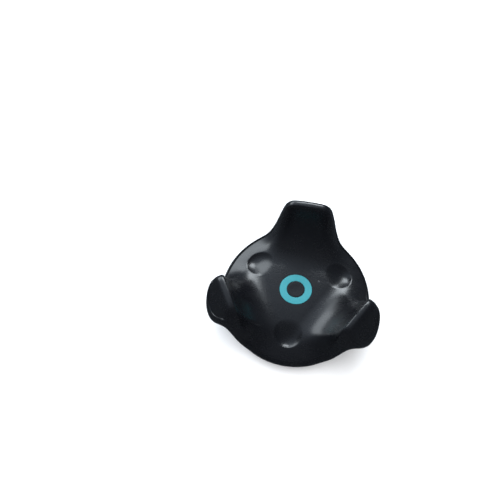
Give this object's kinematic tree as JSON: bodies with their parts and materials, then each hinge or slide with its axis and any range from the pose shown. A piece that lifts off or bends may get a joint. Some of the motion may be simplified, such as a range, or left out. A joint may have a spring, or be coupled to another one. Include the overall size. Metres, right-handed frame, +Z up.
{
  "type": "motion tracker",
  "caption": "Winged motion tracker puck for virtual reality: dished top, power button with a teal ring, round base with a tripod socket and contact pads.",
  "frame": {"origin": "on the axis of the tripod socket, in the plane of the docking pad that the tracker stands on", "axes": "+Z up out of the dish, -Z out of the socket; +Y along one wing; +X to the right of it"},
  "size_m": [0.0906, 0.0904, 0.0423],
  "materials": {
    "shell": "fine satin moulded texture",
    "button": "fine satin moulded texture",
    "accent": "satin",
    "smoked": "clear smoked plastic, unlit",
    "rubber": "matt friction rubber",
    "steel": "plated",
    "contact": "gold plated",
    "resin": "moulded resin",
    "ceramic": "pale ceramic or nylon",
    "board": "solder mask",
    "sensor": "infrared-pass resin",
    "foil": "laminated foil",
    "foam": "open foam",
    "lead": "sleeved lead",
    "flex": "polyimide film"
  },
  "bodies": {
    "tracker": {"antenna": "ceramic", "battery": "foil", "battery_connector": "ceramic", "battery_foam": "foam", "battery_lead": "lead", "bottom_cover": "shell", "charger_chip": "resin", "contact_block": "resin", "contact_pad_1": "contact", "contact_pad_2": "contact", "contact_pad_3": "contact", "contact_pad_4": "contact", "contact_pad_5": "contact", "contact_pad_6": "contact", "cover_screw_1": "steel", "cover_screw_2": "steel", "cover_screw_3": "steel", "dimple_board_2": "board", "dimple_board_3": "board", "dimple_sensor_1": "sensor", "dimple_sensor_2": "sensor", "dimple_sensor_3": "sensor", "docking_pad": "rubber", "light_pipe": "smoked", "main_board": "board", "motion_sensor": "resin", "power_switch": "resin", "processor": "resin", "radio_shield": "steel", "status_light": "ceramic", "top_cover": "shell", "tripod_nut": "steel", "usb_board": "board", "usb_shell": "steel", "usb_tongue": "resin", "wing_end_board_1": "board", "wing_end_board_2": "board", "wing_end_board_3": "board", "wing_end_sensor_1": "sensor", "wing_end_sensor_2": "sensor", "wing_end_sensor_3": "sensor", "wing_face_board_1": "board", "wing_face_board_2": "board", "wing_face_board_3": "board", "wing_face_sensor_1": "sensor", "wing_face_sensor_2": "sensor", "wing_face_sensor_3": "sensor", "wing_flex_1": "flex", "wing_flex_2": "flex", "wing_flex_3": "flex"},
    "button": {"power_button": "button", "button_ring": "accent"},
    "plunger": {"switch_plunger": "ceramic"}
  },
  "joints": [
    {"name": "power_button_press", "type": "slide", "parent": "tracker", "child": "button", "axis": [0, 0, -1], "range_m": [0, 0.00035], "stiffness_N_per_m": 3000, "springref_m": -0.0002},
    {"name": "switch_plunger_press", "type": "slide", "parent": "tracker", "child": "plunger", "axis": [0, 0, -1], "range_m": [0, 0.00035]}
  ],
  "couplings": [
    {"joint": "switch_plunger_press", "follows": "power_button_press", "ratio": 1}
  ]
}
